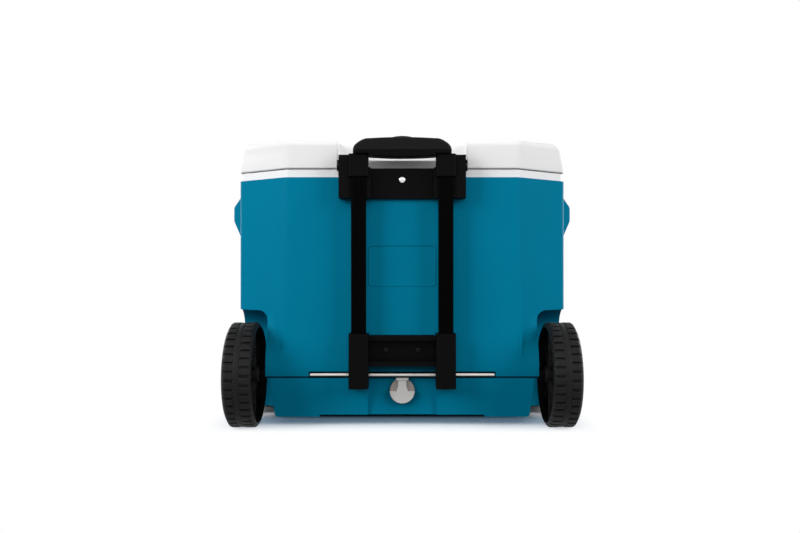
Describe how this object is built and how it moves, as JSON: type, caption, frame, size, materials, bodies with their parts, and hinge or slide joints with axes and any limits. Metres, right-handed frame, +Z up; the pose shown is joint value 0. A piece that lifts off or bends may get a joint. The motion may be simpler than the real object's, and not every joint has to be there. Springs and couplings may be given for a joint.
{
  "type": "wheeled cooler",
  "caption": "Wheeled cooler box: teal shell, white hinged lid with cup holders, telescoping tow handle, lugged plastic wheels on a steel axle, drain with a flip cap.",
  "frame": {"origin": "on the floor at the middle of the footprint", "axes": "+X to the right seen from the tow handle, +Y from the tow handle towards the front, +Z up"},
  "size_m": [0.604, 0.4595, 0.472],
  "materials": {
    "teal_plastic": "satin",
    "white_plastic": "satin",
    "foam": "matte",
    "black_plastic": "satin",
    "black_steel": "satin",
    "grip_plastic": "matte",
    "bright_steel": "satin",
    "axle_steel": "satin",
    "wheel_plastic": "matte",
    "drain_plastic": "satin",
    "gasket_rubber": "matte"
  },
  "bodies": {
    "cooler": {"outer_shell": "teal_plastic", "inner_liner": "white_plastic", "body_foam": "foam", "upper_bracket": "black_plastic", "upper_bracket_screw": "bright_steel", "hinge_pin_left": "black_plastic", "hinge_pin_right": "black_plastic", "lower_bracket": "black_plastic", "lower_bracket_screws": "black_steel", "outer_tube_left": "black_steel", "outer_tube_right": "black_steel", "collar_left": "black_plastic", "collar_right": "black_plastic", "axle_rod": "axle_steel", "axle_spacer_left": "black_plastic", "axle_spacer_right": "black_plastic", "push_nut_left": "bright_steel", "push_nut_right": "bright_steel", "drain_spout": "drain_plastic", "drain_gasket": "gasket_rubber", "drain_cap_pin": "bright_steel"},
    "lid": {"lid_shell": "white_plastic", "lid_liner": "white_plastic", "lid_foam": "foam"},
    "tow_handle": {"inner_tube_left": "black_steel", "inner_tube_right": "black_steel", "slide_bush_left": "black_plastic", "slide_bush_right": "black_plastic", "grip_upper": "grip_plastic", "grip_lower": "grip_plastic", "grip_screws": "bright_steel", "button_spring": "bright_steel"},
    "release": {"release_button": "grip_plastic", "release_yoke": "bright_steel"},
    "lock_left": {"lock_pin_left": "bright_steel"},
    "lock_right": {"lock_pin_right": "bright_steel"},
    "left_wheel": {"wheel_left": "wheel_plastic"},
    "right_wheel": {"wheel_right": "wheel_plastic"},
    "cap": {"drain_cap": "drain_plastic"}
  },
  "joints": [
    {"name": "lid_hinge", "type": "hinge", "parent": "cooler", "child": "lid", "pos_m": [0, -0.14625, 0.433], "axis": [-1, 0, 0], "range_deg": [-95, 0]},
    {"name": "handle_slide", "type": "slide", "parent": "cooler", "child": "tow_handle", "axis": [0, 0, 1], "range_m": [0, 0.325]},
    {"name": "release_press", "type": "slide", "parent": "tow_handle", "child": "release", "axis": [0, 0, -1], "range_m": [0, 0.0026], "stiffness_N_per_m": 1500, "springref_m": -0.003, "deforming": ["button_spring"]},
    {"name": "lock_left_slide", "type": "slide", "parent": "tow_handle", "child": "lock_left", "axis": [1, 0, 0], "range_m": [0, 0.0015]},
    {"name": "lock_right_slide", "type": "slide", "parent": "tow_handle", "child": "lock_right", "axis": [-1, 0, 0], "range_m": [0, 0.0015]},
    {"name": "wheel_left_spin", "type": "hinge", "parent": "cooler", "child": "left_wheel", "pos_m": [-0.257, -0.14475, 0.085], "axis": [1, 0, 0], "continuous": true},
    {"name": "wheel_right_spin", "type": "hinge", "parent": "cooler", "child": "right_wheel", "pos_m": [0.257, -0.14475, 0.085], "axis": [1, 0, 0], "continuous": true},
    {"name": "cap_flip", "type": "hinge", "parent": "cooler", "child": "cap", "pos_m": [0, -0.14555, 0.077], "axis": [1, 0, 0], "range_deg": [-100, 0]}
  ],
  "couplings": [
    {"joint": "lock_left_slide", "follows": "release_press", "ratio": 0.57692},
    {"joint": "lock_right_slide", "follows": "release_press", "ratio": 0.57692}
  ]
}
